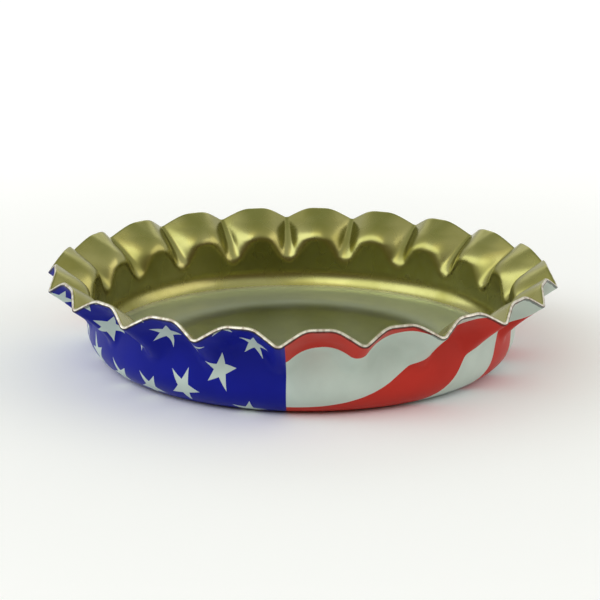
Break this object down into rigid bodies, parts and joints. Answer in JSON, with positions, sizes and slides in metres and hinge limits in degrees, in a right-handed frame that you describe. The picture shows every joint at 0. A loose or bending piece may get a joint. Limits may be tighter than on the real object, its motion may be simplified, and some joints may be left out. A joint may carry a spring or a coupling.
{
  "type": "bottle cap",
  "caption": "Bottle cap of the crown type, not yet crimped: a shallow tinplate cup with a fluted, flared skirt, printed outside and gold lacquered inside, with a moulded sealing liner.",
  "frame": {"origin": "centre of the panel's outer face, which the cap lies on", "axes": "+Z out of the open mouth, towards the rim; -Y is the side that carries the edge between the blue field and the stripes"},
  "size_m": [0.0319, 0.032, 0.006],
  "materials": {
    "tinplate": "lithographed tinplate outside, gold lacquer inside, bare cut edge",
    "liner": "clear, slightly milky sealing compound moulded onto the gold lacquer"
  },
  "bodies": {
    "root": {"cap_shell": "tinplate", "sealing_liner": "liner"}
  },
  "joints": []
}
